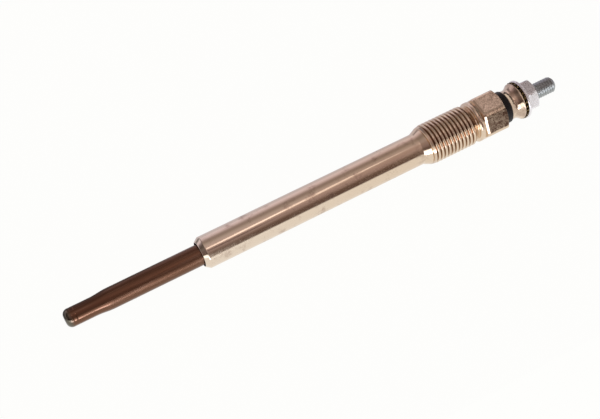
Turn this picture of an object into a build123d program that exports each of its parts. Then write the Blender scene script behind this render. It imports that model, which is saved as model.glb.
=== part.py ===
"""Diesel glow plug with a metal heater tube, an M10 x 1 body thread and an M4 terminal stud.

The plug's axis is the X axis. The tip points to -X and the terminal to +X. The origin is on the
axis where the sealing cone meets the barrel. One flat of the body's hex faces straight down (-Z).
A free thread is a plain cylinder of its major diameter. Where a thread is screwed into a nut, both
pieces meet at its pitch diameter. Lengths are in millimetres, angles in degrees.
"""

from build123d import *
import math
import os

os.makedirs("parts", exist_ok=True)

# Body, from the sealing cone to the hex
seat_cone_length = 1.05
seat_cone_front_diameter = 6.2
barrel_diameter = 7.75
barrel_length = 56.8
run_in_length = 1.8
run_in_diameter = 9.4
thread_diameter = 10.0
thread_lead_length = 1.3
thread_length = 10.6
thread_end_slope = 1.3
groove_diameter = 8.2
groove_length = 0.5
collar_slope = 0.7
collar_diameter = 10.1
collar_length = 0.15
collar_rear_chamfer = 0.3
neck_length = 0.25
hex_across_flats = 10.0
hex_length = 6.5
hex_front_bevel = 0.45
hex_front_across_flats = 9.6
hex_rear_face_diameter = 8.8
hex_chamfer_angle = 32.0

# Body, inside
mouth_diameter = 5.9
mouth_depth = 0.8
tube_grip_length = 20.0
rod_bore_diameter = 5.4
seal_bore_diameter = 6.3

# Heater tube
tube_diameter = 5.0
tube_stand_out = 33.25
tube_tip_diameter = 4.4
tube_tip_length = 7.45
tube_taper_length = 2.7
tube_wall = 0.6
tube_end_thickness = 1.2
tube_end_radius = 1.35

# Coils in the heater tube
coil_mean_diameter = 2.3
coil_runs_per_turn = 8
heating_wire = 0.36
heating_coil_length = 7.2
heating_coil_turns = 8
control_wire = 0.42
control_coil_length = 15.5
control_coil_turns = 12
coil_end_clearance = 0.03

# Centre rod, from its nose in the heater tube to the end of the terminal stud
rod_nose_diameter = 1.2
rod_nose_length = 3.0
rod_front_diameter = 2.4
rod_diameter = 3.4
rod_step_chamfer = 0.3
stud_diameter = 4.0
stud_pitch_diameter = 3.55
stud_beyond_nut = 6.2
stud_chamfer = 0.65

# Seals
tube_seal_length = 2.5
body_seal_length = 1.7

# Terminal stack, each piece seated on the one before it
insulator_diameter = 8.1
insulator_thickness = 1.75
insulator_spigot_length = 2.2
insulator_edge_chamfer = 0.25
spigot_clearance = 0.05
stud_clearance = 0.1
round_nut_front_diameter = 7.7
round_nut_waist_diameter = 7.4
round_nut_rear_diameter = 9.2
round_nut_length = 3.3
round_nut_waist_place = 1.15
round_nut_rim = 0.3
nut_front_tangent = (1, -0.35)
nut_flare_tangent = (1, 0.9)
lock_washer_diameter = 9.5
lock_washer_ring_diameter = 7.6
lock_washer_sheet = 0.5
lock_washer_height = 0.75
lock_washer_teeth = 26
tooth_fill = 0.68
plain_washer_diameter = 9.7
plain_washer_thickness = 0.7
plain_washer_edge_chamfer = 0.15
washer_bore_clearance = 0.15
nut_across_flats = 7.0
nut_height = 3.2
nut_face_diameter = 6.5
nut_chamfer_angle = 30.0
nut_turn = 3.0
corner_margin = 0.1

# Stations along the body
body_front_x = -seat_cone_length
barrel_end_x = barrel_length
run_in_end_x = barrel_end_x + run_in_length
thread_start_x = run_in_end_x + thread_lead_length
thread_end_x = thread_start_x + thread_length
groove_start_x = thread_end_x + thread_end_slope
groove_end_x = groove_start_x + groove_length
collar_start_x = groove_end_x + collar_slope
collar_end_x = collar_start_x + collar_length
neck_x = collar_end_x + collar_rear_chamfer
hex_start_x = neck_x + neck_length
hex_end_x = hex_start_x + hex_length

# Stations of the heater tube and what it holds
tip_x = body_front_x - tube_stand_out
tip_end_x = tip_x + tube_tip_length
tube_full_x = tip_end_x + tube_taper_length
cavity_x = tip_x + tube_end_thickness
tube_rear_x = tube_grip_length
tube_seal_x = tube_rear_x - tube_seal_length
heating_coil_x = cavity_x + coil_end_clearance + heating_wire / 2
control_coil_x = heating_coil_x + heating_coil_length
rod_shoulder_x = control_coil_x + control_coil_length + control_wire / 2 + coil_end_clearance
rod_nose_x = rod_shoulder_x - rod_nose_length

# Stations of the terminal stack
seal_bore_x = hex_end_x - insulator_spigot_length - body_seal_length
spigot_x = hex_end_x - insulator_spigot_length
round_nut_x = hex_end_x + insulator_thickness
lock_washer_x = round_nut_x + round_nut_length
plain_washer_x = lock_washer_x + lock_washer_height
nut_x = plain_washer_x + plain_washer_thickness
nut_end_x = nut_x + nut_height
stud_end_x = nut_end_x + stud_beyond_nut
stud_start_x = spigot_x + spigot_clearance


def turned(*outline):
    """Solid of revolution about the plug's axis. The outline is (x, radius) points or edges."""
    if isinstance(outline[0], tuple):
        return revolve(make_face(Polyline(*outline, close=True)), Axis.X)
    return revolve(make_face(Curve() + list(outline)), Axis.X)


def rod_along_x(x_start, x_end, diameter):
    """Plain cylinder on the plug's axis."""
    radius = diameter / 2
    return turned((x_start, 0), (x_end, 0), (x_end, radius), (x_start, radius))


def ring_along_x(x_start, x_end, inner_diameter, outer_diameter):
    """Plain ring round the plug's axis."""
    inner = inner_diameter / 2
    outer = outer_diameter / 2
    return turned((x_start, inner), (x_end, inner), (x_end, outer), (x_start, outer))


def outer_rims(ring):
    """The two outer edges of a plain ring."""
    return ring.edges().filter_by(GeomType.CIRCLE).sort_by(lambda edge: edge.radius)[-2:]


def hexagon(x, across_flats):
    """Hexagon across the plug's axis, with flats facing up and down."""
    return Plane.YZ.offset(x) * RegularPolygon(across_flats / 2, 6, major_radius=False)


def chamfered_prism(x_start, x_end, across_flats, face_diameter, angle):
    """Hexagonal prism whose rear corners are cut by a cone down to face_diameter."""
    corner = across_flats / math.sqrt(3) + corner_margin
    cut = (corner - face_diameter / 2) * math.tan(math.radians(angle))
    blank = turned(
        (x_start, 0),
        (x_start, corner),
        (x_end - cut, corner),
        (x_end, face_diameter / 2),
        (x_end, 0),
    )
    return extrude(hexagon(x_start, across_flats), x_end - x_start) & blank


def make_body():
    """Turned steel housing: sealing cone, barrel, thread, relief groove, collar, neck and hex."""
    neck_diameter = collar_diameter - 2 * collar_rear_chamfer
    shank = turned(
        (body_front_x, 0),
        (body_front_x, seat_cone_front_diameter / 2),
        (0, barrel_diameter / 2),
        (barrel_end_x, barrel_diameter / 2),
        (run_in_end_x, run_in_diameter / 2),
        (thread_start_x, thread_diameter / 2),
        (thread_end_x, thread_diameter / 2),
        (groove_start_x, groove_diameter / 2),
        (groove_end_x, groove_diameter / 2),
        (collar_start_x, collar_diameter / 2),
        (collar_end_x, collar_diameter / 2),
        (neck_x, neck_diameter / 2),
        (hex_start_x, neck_diameter / 2),
        (hex_start_x, 0),
    )
    hex_full_x = hex_start_x + hex_front_bevel
    bevel = loft(
        [hexagon(hex_start_x, hex_front_across_flats), hexagon(hex_full_x, hex_across_flats)], ruled=True
    )
    head = bevel + chamfered_prism(
        hex_full_x, hex_end_x, hex_across_flats, hex_rear_face_diameter, hex_chamfer_angle
    )
    bores = (
        rod_along_x(body_front_x, tube_rear_x, tube_diameter)
        + rod_along_x(tube_rear_x, hex_end_x, rod_bore_diameter)
        + rod_along_x(seal_bore_x, hex_end_x, seal_bore_diameter)
        + turned(
            (body_front_x, 0),
            (body_front_x, mouth_diameter / 2),
            (body_front_x + mouth_depth, tube_diameter / 2),
            (body_front_x + mouth_depth, 0),
        )
    )
    return shank + head - bores


def tube_outline(inset, front_x):
    """Half outline of the heater tube's outer form, moved in by inset and begun at front_x."""
    tip_radius = tube_tip_diameter / 2 - inset
    full_radius = tube_diameter / 2 - inset
    return [
        (front_x, tip_radius),
        (tip_end_x, tip_radius),
        (tube_full_x, full_radius),
        (tube_rear_x, full_radius),
    ]


def make_heater_tube():
    """Drawn tube, swaged thinner over the heating coil and welded shut to a rounded end."""
    tip_radius = tube_tip_diameter / 2
    outer = tube_outline(0, tip_x + tube_end_radius)
    face_radius = tip_radius - tube_end_radius
    blank = turned(
        Line((tip_x, 0), (tip_x, face_radius)),
        CenterArc((tip_x + tube_end_radius, face_radius), tube_end_radius, 90, 90),
        Polyline(*outer, (tube_rear_x, 0)),
        Line((tube_rear_x, 0), (tip_x, 0)),
    )
    return blank - make_cavity(tube_rear_x)


def make_cavity(x_end):
    """The space inside the heater tube, from its closed end to x_end."""
    inner = tube_outline(tube_wall, cavity_x)
    full = turned((cavity_x, 0), *inner, (tube_rear_x, 0))
    return full & rod_along_x(cavity_x, x_end, tube_diameter)


def make_coil(x_start, length, turns, wire):
    """Helix of square wire round the plug's axis, in straight runs. Both ends face round the axis."""
    runs = turns * coil_runs_per_turn
    step = 360 / coil_runs_per_turn
    radius = coil_mean_diameter / 2
    flat_radius = radius * math.cos(math.radians(step / 2))

    def place(run, distance):
        angle = math.radians(run * step)
        return (x_start + length * run / runs, -distance * math.sin(angle), distance * math.cos(angle))

    corners = [place(run + 0.5, radius) for run in range(runs)]
    path = Polyline(place(0, flat_radius), *corners, place(runs, flat_radius))
    section = Plane(place(0, flat_radius), x_dir=(0, 0, 1), z_dir=(0, -1, 0)) * Rectangle(wire, wire)
    return sweep(section, path, transition=Transition.RIGHT)


def make_heating_coil():
    """Front coil, which glows. It starts at the closed end of the tube."""
    return make_coil(heating_coil_x, heating_coil_length, heating_coil_turns, heating_wire)


def make_control_coil():
    """Rear coil, which limits the current. It runs from the heating coil to the rod."""
    return make_coil(control_coil_x, control_coil_length, control_coil_turns, control_wire)


def make_centre_rod():
    """Steel rod that carries the current, with the terminal thread at its rear end."""
    front = rod_front_diameter / 2
    middle = rod_diameter / 2
    held = stud_pitch_diameter / 2
    stud = stud_diameter / 2
    return turned(
        (rod_nose_x, 0),
        (rod_nose_x, rod_nose_diameter / 2),
        (rod_shoulder_x, rod_nose_diameter / 2),
        (rod_shoulder_x, front),
        (tube_rear_x + rod_step_chamfer, front),
        (tube_rear_x + rod_step_chamfer + middle - front, middle),
        (stud_start_x, middle),
        (stud_start_x + held - middle, held),
        (nut_end_x, held),
        (nut_end_x, stud),
        (stud_end_x - stud_chamfer, stud),
        (stud_end_x, stud - stud_chamfer),
        (stud_end_x, 0),
    )


def make_insulating_powder():
    """Packed magnesia that fills the heater tube round the coils and the rod."""
    fill = make_cavity(tube_seal_x)
    return fill - make_centre_rod() - make_heating_coil() - make_control_coil()


def make_tube_seal():
    """Soft ring that shuts the open end of the heater tube round the rod."""
    return ring_along_x(tube_seal_x, tube_rear_x, rod_front_diameter, tube_diameter - 2 * tube_wall)


def make_body_seal():
    """Sealing ring at the rear of the body, squeezed between rod and bore."""
    return ring_along_x(seal_bore_x, seal_bore_x + body_seal_length, rod_diameter, seal_bore_diameter)


def make_insulating_washer():
    """Black insulating bush: a flange on the hex and a spigot in the body's rear bore."""
    flange = ring_along_x(hex_end_x, round_nut_x, stud_diameter + 2 * stud_clearance, insulator_diameter)
    spigot = ring_along_x(
        spigot_x,
        hex_end_x,
        stud_diameter + 2 * stud_clearance,
        seal_bore_diameter - 2 * spigot_clearance,
    )
    return chamfer(outer_rims(flange), insulator_edge_chamfer) + spigot


def make_round_nut():
    """Round waisted nut on the stud, flared towards the rear, which clamps the insulator."""
    bore = stud_pitch_diameter / 2
    waist_x = round_nut_x + round_nut_waist_place
    front = (round_nut_x, round_nut_front_diameter / 2)
    waist = (waist_x, round_nut_waist_diameter / 2)
    flare = (lock_washer_x - round_nut_rim, round_nut_rear_diameter / 2)
    rim = (lock_washer_x, round_nut_rear_diameter / 2)
    return turned(
        Polyline(flare, rim, (lock_washer_x, bore), (round_nut_x, bore), front),
        Spline(front, waist, flare, tangents=(nut_front_tangent, nut_flare_tangent)),
    )


def make_lock_washer():
    """Toothed lock washer: a flat ring with twisted teeth that bite on both neighbours."""
    middle_x = lock_washer_x + lock_washer_height / 2
    bore = stud_diameter + 2 * washer_bore_clearance
    ring = ring_along_x(
        middle_x - lock_washer_sheet / 2,
        middle_x + lock_washer_sheet / 2,
        bore,
        lock_washer_ring_diameter,
    )
    pitch_angle = 360 / lock_washer_teeth
    root = lock_washer_ring_diameter / 2
    tooth_width = math.radians(pitch_angle) * root * tooth_fill
    tooth_root = root - lock_washer_sheet / 2
    tooth_length = lock_washer_diameter / 2 - tooth_root
    twist = tooth_twist(tooth_width)
    blade = Pos(middle_x, 0, tooth_root + tooth_length / 2) * (
        Rotation(0, 0, twist) * Box(lock_washer_sheet, tooth_width, tooth_length)
    )
    teeth = [Rotation(index * pitch_angle, 0, 0) * blade for index in range(lock_washer_teeth)]
    return ring + teeth


def tooth_twist(tooth_width):
    """Turn of a tooth about its own length that makes the washer as high as it is."""
    diagonal = math.hypot(lock_washer_sheet, tooth_width)
    lean = math.degrees(math.atan2(tooth_width, lock_washer_sheet))
    return lean - math.degrees(math.acos(min(1.0, lock_washer_height / diagonal)))


def make_plain_washer():
    """Flat washer under the terminal nut."""
    bore = stud_diameter + 2 * washer_bore_clearance
    disc = ring_along_x(plain_washer_x, nut_x, bore, plain_washer_diameter)
    return chamfer(outer_rims(disc), plain_washer_edge_chamfer)


def make_terminal_nut():
    """Hexagon nut on the stud, chamfered on both faces."""
    half = chamfered_prism(0, nut_height / 2, nut_across_flats, nut_face_diameter, nut_chamfer_angle)
    middle = Pos((nut_x + nut_end_x) / 2, 0, 0) * Rotation(nut_turn, 0, 0)
    nut = middle * (half + Rotation(0, 0, 180) * half)
    return nut - rod_along_x(nut_x, nut_end_x, stud_pitch_diameter)


def main():
    pieces = {
        "body": make_body(),
        "heater_tube": make_heater_tube(),
        "heating_coil": make_heating_coil(),
        "control_coil": make_control_coil(),
        "insulating_powder": make_insulating_powder(),
        "tube_seal": make_tube_seal(),
        "centre_rod": make_centre_rod(),
        "body_seal": make_body_seal(),
        "insulating_washer": make_insulating_washer(),
        "round_nut": make_round_nut(),
        "lock_washer": make_lock_washer(),
        "plain_washer": make_plain_washer(),
        "terminal_nut": make_terminal_nut(),
    }
    for node, piece in pieces.items():
        export_step(piece, f"parts/{node}.step")


main()
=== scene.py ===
"""Diesel glow plug: the visible pieces with their threads, edges and finishes, and a plain studio stage.

The plug's axis is the X axis and its tip points to -X. Each piece that replaces a solid is spun about
that axis and then cut, bevelled or extruded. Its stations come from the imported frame. Lengths are in
metres, and angles about the axis start at +Z and grow towards -Y.
"""

import math
from itertools import accumulate

import bmesh
import bpy
from mathutils import Matrix, Vector


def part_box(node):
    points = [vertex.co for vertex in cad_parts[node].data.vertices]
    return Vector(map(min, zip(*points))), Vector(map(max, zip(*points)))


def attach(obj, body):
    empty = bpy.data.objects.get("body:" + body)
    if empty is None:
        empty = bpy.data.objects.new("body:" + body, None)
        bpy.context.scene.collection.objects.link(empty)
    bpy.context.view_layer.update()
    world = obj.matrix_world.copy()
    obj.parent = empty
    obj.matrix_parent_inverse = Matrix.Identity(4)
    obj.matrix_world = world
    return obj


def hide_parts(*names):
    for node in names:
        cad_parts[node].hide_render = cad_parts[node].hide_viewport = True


bl_info = {
    "name": "Diesel glow plug",
    "version": (1, 0, 0),
    "blender": (4, 5, 0),
    "location": "View3D > Sidebar > Glow plug",
    "description": "Builds the visible pieces, finishes and studio stage of a diesel glow plug",
    "category": "Object",
}

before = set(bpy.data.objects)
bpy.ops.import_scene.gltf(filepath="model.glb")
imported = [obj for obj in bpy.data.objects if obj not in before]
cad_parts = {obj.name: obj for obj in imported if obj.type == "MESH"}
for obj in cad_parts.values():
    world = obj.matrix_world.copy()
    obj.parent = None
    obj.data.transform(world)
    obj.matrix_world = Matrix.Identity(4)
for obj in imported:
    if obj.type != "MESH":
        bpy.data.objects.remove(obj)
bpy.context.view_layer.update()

MM = 0.001
AXIS = (1.0, 0.0, 0.0)
SEGMENTS = 120
STUD_SEGMENTS = 72
WELD_DISTANCE = 1e-7
STATION = {node: (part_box(node)[0].x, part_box(node)[1].x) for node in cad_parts}


def length(name, description, millimetres):
    """A length that a user may change."""
    return bpy.props.FloatProperty(
        name=name, description=description, default=millimetres * MM, precision=5, unit="LENGTH"
    )


def angle(name, description, degrees):
    """An angle that a user may change."""
    return bpy.props.FloatProperty(
        name=name, description=description, default=math.radians(degrees), unit="ROTATION"
    )


def colour(name, description, red, green, blue):
    """A colour that a user may change."""
    return bpy.props.FloatVectorProperty(
        name=name, description=description, default=(red, green, blue), size=3, subtype="COLOR"
    )


class BodySizes(bpy.types.PropertyGroup):
    """Sizes of the steel body."""

    seat_front_radius: length("Seat front radius", "Radius of the sealing cone's front", 3.1)
    barrel_radius: length("Barrel radius", "Radius of the plain barrel", 3.875)
    barrel_length: length("Barrel length", "Barrel behind the sealing cone", 56.8)
    run_in_length: length("Run-in length", "Cone between the barrel and the thread", 1.8)
    run_in_radius: length("Run-in radius", "Radius at the rear of that cone", 4.7)
    lead_length: length("Lead length", "Cone that cuts the first turns of the thread", 1.3)
    thread_radius: length("Thread radius", "Radius of the body thread's crests", 5.0)
    thread_length: length("Thread length", "Length of the full thread", 10.6)
    thread_pitch: length("Thread pitch", "Advance of the body thread in one turn", 1.0)
    thread_depth: length("Thread depth", "Depth of the body thread's grooves", 0.6)
    thread_slope: length("Thread slope", "Length of the slope behind the thread", 1.15)
    groove_radius: length("Groove radius", "Radius of the relief groove", 4.2)
    groove_length: length("Groove length", "Length of the relief groove", 0.3)
    collar_slope: length("Collar slope", "Length of the collar's rounded front", 0.5)
    collar_radius: length("Collar radius", "Radius of the round collar", 5.05)
    collar_length: length("Collar length", "Length of the round collar", 0.7)
    collar_chamfer: length("Collar chamfer", "Chamfer at the collar's rear, down to the neck", 0.3)
    neck_length: length("Neck length", "Length of the neck in front of the hex", 0.25)
    hex_apothem: length("Hex apothem", "Distance from the axis to a flat of the hex", 5.0)
    hex_bevel: length("Hex bevel", "Length of the bevel along the front of the flats", 0.45)
    hex_front_apothem: length("Hex front apothem", "Distance from the axis to the front of the bevel", 4.8)
    hex_rear_radius: length("Hex rear radius", "Radius where the rear chamfer ends", 4.4)
    hex_chamfer: angle("Hex chamfer", "Slope of the hex's chamfers", 32.0)
    mouth_radius: length("Mouth radius", "Radius of the recess round the heater tube", 2.95)
    mouth_depth: length("Mouth depth", "Depth of that recess", 0.8)
    rod_bore_radius: length("Rod bore radius", "Bore round the centre rod", 2.7)
    seal_bore_radius: length("Seal bore radius", "Rear bore for seal and spigot", 3.15)
    edge: length("Edge", "Width of the broken edges", 0.07)
    hex_rounding: length("Hex rounding", "Radius of the hex's rounded corners", 1.1)
    shading_margin: length("Shading margin", "Distance of the support rings from a part's ends", 0.2)


class TubeSizes(bpy.types.PropertyGroup):
    """Sizes of the heater tube."""

    tip_radius: length("Tip radius", "Radius of the thin front part", 2.2)
    tip_length: length("Tip length", "Length of the thin front part", 7.45)
    taper_length: length("Taper length", "Taper up to the full radius", 2.7)
    radius: length("Radius", "Radius behind the taper", 2.5)
    wall: length("Wall", "Thickness of the tube's wall", 0.6)
    end_thickness: length("End thickness", "Thickness of the welded end", 1.2)
    end_rounding: length("End rounding", "Radius that rounds the welded end", 1.35)
    taper_rounding: length("Taper rounding", "Width of the soft edges of the taper", 0.8)
    ring_mark_depth: length("Ring mark depth", "Depth of the turned marks near the tip", 0.02)
    shading_margin: length("Shading margin", "Distance of the support rings from a part's ends", 1.0)


class StackSizes(bpy.types.PropertyGroup):
    """Sizes of the terminal stack and the centre rod."""

    insulator_bore: length("Insulator bore", "Bore radius of the insulating washer", 2.1)
    insulator_edge: length("Insulator edge", "Rounding of the insulating washer's rim", 0.3)
    spigot_radius: length("Spigot radius", "Radius of the insulator's spigot", 3.1)
    nut_front_radius: length("Round nut front", "Radius at the round nut's front", 3.85)
    nut_waist_radius: length("Round nut waist", "Radius at the round nut's waist", 3.7)
    nut_waist_place: length("Round nut waist place", "Waist behind the round nut's front", 1.15)
    nut_rim: length("Round nut rim", "Width of the round nut's rear rim", 0.3)
    round_nut_edge: length("Round nut edge", "Width of the round nut's broken edges", 0.08)
    held_radius: length("Held radius", "Radius where nut and stud threads meet", 1.775)
    tooth_ring_radius: length("Tooth ring radius", "Radius where the lock washer's teeth begin", 3.8)
    tooth_ring_sheet: length("Tooth ring sheet", "Thickness of the lock washer's sheet", 0.5)
    tooth_edge: length("Tooth edge", "Width of the broken edges of the teeth", 0.05)
    washer_bore: length("Washer bore", "Bore radius of both washers", 2.15)
    washer_edge: length("Washer edge", "Rounding of the plain washer's rim", 0.2)
    nut_apothem: length("Nut apothem", "Distance from the axis to a flat of the terminal nut", 3.5)
    nut_face_radius: length("Nut face radius", "Radius of the terminal nut's flat faces", 3.25)
    nut_chamfer: angle("Nut chamfer", "Slope of the terminal nut's chamfers", 30.0)
    nut_rounding: length("Nut rounding", "Radius of the terminal nut's rounded corners", 0.3)
    nut_turn: angle("Nut turn", "Turn of the terminal nut about the axis", 3.0)
    nut_countersink: length("Nut countersink", "Depth of the terminal nut's countersink", 0.3)
    nut_edge: length("Nut edge", "Width of the terminal nut's broken edges", 0.06)
    rod_nose_radius: length("Rod nose radius", "Radius of the nose that holds the coil", 0.6)
    rod_nose_length: length("Rod nose length", "Length of that nose", 3.0)
    rod_front_radius: length("Rod front radius", "Radius inside the heater tube", 1.2)
    rod_step_gap: length("Rod step gap", "Gap between the heater tube and the rod's step", 0.3)
    rod_radius: length("Rod radius", "Radius of the rod's middle", 1.7)
    held_gap: length("Held gap", "Gap between the insulator's spigot and the rod's thread", 0.05)
    stud_radius: length("Stud radius", "Radius of the stud thread's crests", 2.0)
    stud_pitch: length("Stud pitch", "Advance of the stud thread in one turn", 0.7)
    stud_depth: length("Stud depth", "Depth of the stud thread's grooves", 0.22)
    stud_chamfer: length("Stud chamfer", "Chamfer of the stud's end", 0.65)
    stud_end_step: length("Stud end step", "Height of the small step in the stud's end face", 0.02)
    stud_end_rim: length("Stud end rim", "Width of the rim round that step", 0.15)


class WearPlaces(bpy.types.PropertyGroup):
    """Stations and widths of wear, stains and grime along the axis."""

    scuff_front: length("Scuff front", "Front of the scuffed stretch of the barrel", 6.0)
    scuff_rear: length("Scuff rear", "Rear of the scuffed stretch", 9.8)
    scuff_fade: length("Scuff fade", "Width over which the scuffs fade", 1.0)
    rust_front: length("Rust front", "Front of the rust specks on the barrel", 45.3)
    rust_rear: length("Rust rear", "Rear of the rust specks", 50.3)
    rust_fade: length("Rust fade", "Width over which the specks fade", 1.5)
    # Painted shade with grime: the stretch and depths below set where the thread's grooves are painted
    # darker
    grime_and_shade_end: length("Grime end", "How far the thread's grime reaches past its full turns", 0.7)
    grime_and_shade_fade: length("Grime fade", "Width over which the grime fades", 0.8)
    grime_and_shade_top: length("Grime top", "Depth below the crests at which the grime begins", 0.08)
    grime_and_shade_full: length("Grime full", "Depth below the crests at which the grime is full", 0.3)
    finish_step: length("Finish step", "Width over which one finish turns into the next", 0.1)
    tip_grey_full: length("Tip grey, full", "Length of the tip that is all grey", 0.6)
    tip_grey_end: length("Tip grey, end", "Length of the tip where the grey ends", 1.9)
    smooth_full: length("Smooth front, full", "Length of the heater tube's smoother front", 9.0)
    smooth_end: length("Smooth front, end", "Length at which the tube is as rough as the rest", 11.0)


class Finishes(bpy.types.PropertyGroup):
    """Colours of the finishes."""

    nickel: colour("Nickel", "Warm nickel plating", 0.77, 0.645, 0.52)
    nickel_warm: colour("Nickel, warmer", "Yellower nickel plating towards the rear", 0.73, 0.585, 0.445)
    # Painted reflection: dark brown mottling painted on one flat of the hex, where that flat shows a dark
    # reflection
    painted_flat_shade: colour("Flat stain", "Brown mottling on one flat of the hex", 0.19, 0.11, 0.075)
    nickel_stain: colour("Nickel stain", "Stains on the plating", 0.40, 0.28, 0.22)
    # Painted shade with grime: duller, darker plating painted deep in the thread's grooves
    groove_grime_and_shade: colour("Groove grime", "Dull plating in the thread's grooves", 0.50, 0.37, 0.28)
    # Near black painted inside the mouth recess round the heater tube
    mouth_recess_black: colour("Soot", "Dark filler round the heater tube", 0.015, 0.011, 0.009)
    rust: colour("Rust", "Rust specks on the plating", 0.14, 0.07, 0.035)
    heated: colour("Heated tube", "Heat-stained heater tube", 0.165, 0.082, 0.050)
    heated_pale: colour("Heated tube, pale", "Paler bands of the heater tube", 0.26, 0.155, 0.11)
    tip_grey: colour("Tip grey", "Grey-green welded tip", 0.15, 0.135, 0.105)
    zinc: colour("Zinc", "Pale zinc plating", 0.83, 0.80, 0.815)
    zinc_dull: colour("Zinc, dull", "Dull patches of the zinc", 0.56, 0.53, 0.52)
    stud_steel: colour("Stud steel", "Grey steel of the stud", 0.34, 0.36, 0.36)
    # Painted shade: both yellow zinc colours are made darker, as the lock washer sits in shade between the
    # round nut and the plain washer
    passivated_with_shade: colour("Yellow zinc", "Yellow passivated zinc", 0.22, 0.155, 0.06)
    passivated_dark_with_shade: colour("Yellow zinc, dark", "Dark patches of the yellow zinc", 0.03, 0.018, 0.01)
    insulator: colour("Insulator", "Black moulded insulator", 0.006, 0.003, 0.003)


GROUPS = (
    ("glow_plug_body", BodySizes),
    ("glow_plug_tube", TubeSizes),
    ("glow_plug_stack", StackSizes),
    ("glow_plug_wear", WearPlaces),
    ("glow_plug_finishes", Finishes),
)


def body_stations(sizes):
    """Stations of the body, from the barrel's rear end to the front of the hex's full flats."""
    steps = (
        sizes.barrel_length,
        sizes.run_in_length,
        sizes.lead_length,
        sizes.thread_length,
        sizes.thread_slope,
        sizes.groove_length,
        sizes.collar_slope,
        sizes.collar_length,
        sizes.collar_chamfer,
        sizes.neck_length,
        sizes.hex_bevel,
    )
    return accumulate(steps)


def radius_at(outline, x):
    """Radius of a turned outline of (x, radius) points at a station."""
    for (x_low, low), (x_high, high) in zip(outline, outline[1:]):
        if x <= x_high:
            return low + (high - low) * max(0.0, x - x_low) / (x_high - x_low)
    return outline[-1][1]


def chain(bm, outline, closed=False):
    """Vertices and edges through (x, radius) points, above the axis."""
    verts = [bm.verts.new((x, 0.0, radius)) for x, radius in outline]
    pairs = list(zip(verts, verts[1:]))
    if closed:
        pairs.append((verts[-1], verts[0]))
    return verts + [bm.edges.new(pair) for pair in pairs]


def turn_outline(bm, outline, closed=True, segments=SEGMENTS):
    """Turns an outline of (x, radius) points once round the axis."""
    bmesh.ops.spin(
        bm,
        geom=chain(bm, outline, closed),
        cent=(0.0, 0.0, 0.0),
        axis=AXIS,
        angle=math.tau,
        steps=segments,
        use_merge=True,
    )
    bmesh.ops.remove_doubles(bm, verts=bm.verts, dist=WELD_DISTANCE)


def with_support(outline, margin):
    """The outline with a point close to both ends of each long straight part, which keeps its shading
    level. A part counts as long when it has more than four times that margin."""
    supported = [outline[0]]
    for (x_low, low), (x_high, high) in zip(outline, outline[1:]):
        part_length = math.hypot(x_high - x_low, high - low)
        if part_length > 4 * margin:
            for share in (margin / part_length, 1.0 - margin / part_length):
                supported.append((x_low + (x_high - x_low) * share, low + (high - low) * share))
        supported.append((x_high, high))
    return supported


def arc(centre, radius, from_degrees, to_degrees, steps):
    """Points of an arc in an (x, radius) outline."""
    sweep = to_degrees - from_degrees
    turns = [math.radians(from_degrees + sweep * step / steps) for step in range(steps + 1)]
    return [(centre[0] + radius * math.cos(turn), centre[1] + radius * math.sin(turn)) for turn in turns]


def around(point):
    """Angle of a point about the axis, from 0 at +Z."""
    return math.atan2(-point.y, point.z)


def hex_radius(apothem, turn, rounding=0.0):
    """Distance from the axis to a hexagon's side, or its rounded corner, at an angle about the axis."""
    sector = math.pi / 3
    off_flat = abs((turn + sector / 2) % sector - sector / 2)
    flat_half = (apothem - rounding) * math.tan(sector / 2)
    if apothem * math.tan(off_flat) <= flat_half:
        return apothem / math.cos(off_flat)
    off_corner = sector / 2 - off_flat
    centre = (apothem - rounding) / math.cos(sector / 2)
    chord_half = max(0.0, rounding**2 - (centre * math.sin(off_corner)) ** 2)
    return centre * math.cos(off_corner) + math.sqrt(chord_half)


def ease_edges(bm, width, least_degrees=20.0, segments=2, where=None):
    """Bevels the edges that are sharper than an angle."""
    least = math.radians(least_degrees)
    sharp = [edge for edge in bm.edges if edge.calc_face_angle(0.0) > least]
    if where:
        sharp = [edge for edge in sharp if where(edge)]
    bmesh.ops.bevel(
        bm,
        geom=sharp,
        offset=width,
        offset_type="OFFSET",
        affect="EDGES",
        segments=segments,
        profile=0.5,
        material=-1,
        clamp_overlap=True,
    )


# One turn of each thread: place in pitches and drop in depths
BODY_THREAD = ((-0.5, 1.0), (-0.47, 0.97), (-0.43, 0.86), (-0.37, 0.58), (-0.31, 0.30), (-0.26, 0.12),
               (-0.20, 0.03), (-0.12, 0.0), (0.12, 0.0), (0.20, 0.03), (0.26, 0.12), (0.31, 0.30),
               (0.37, 0.58), (0.43, 0.86), (0.47, 0.97))
STUD_THREAD = ((-0.5, 1.0), (-0.44, 0.94), (-0.34, 0.68), (-0.24, 0.40), (-0.14, 0.14), (-0.06, 0.02),
               (0.06, 0.02), (0.14, 0.14), (0.24, 0.40), (0.34, 0.68), (0.44, 0.94))


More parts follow.
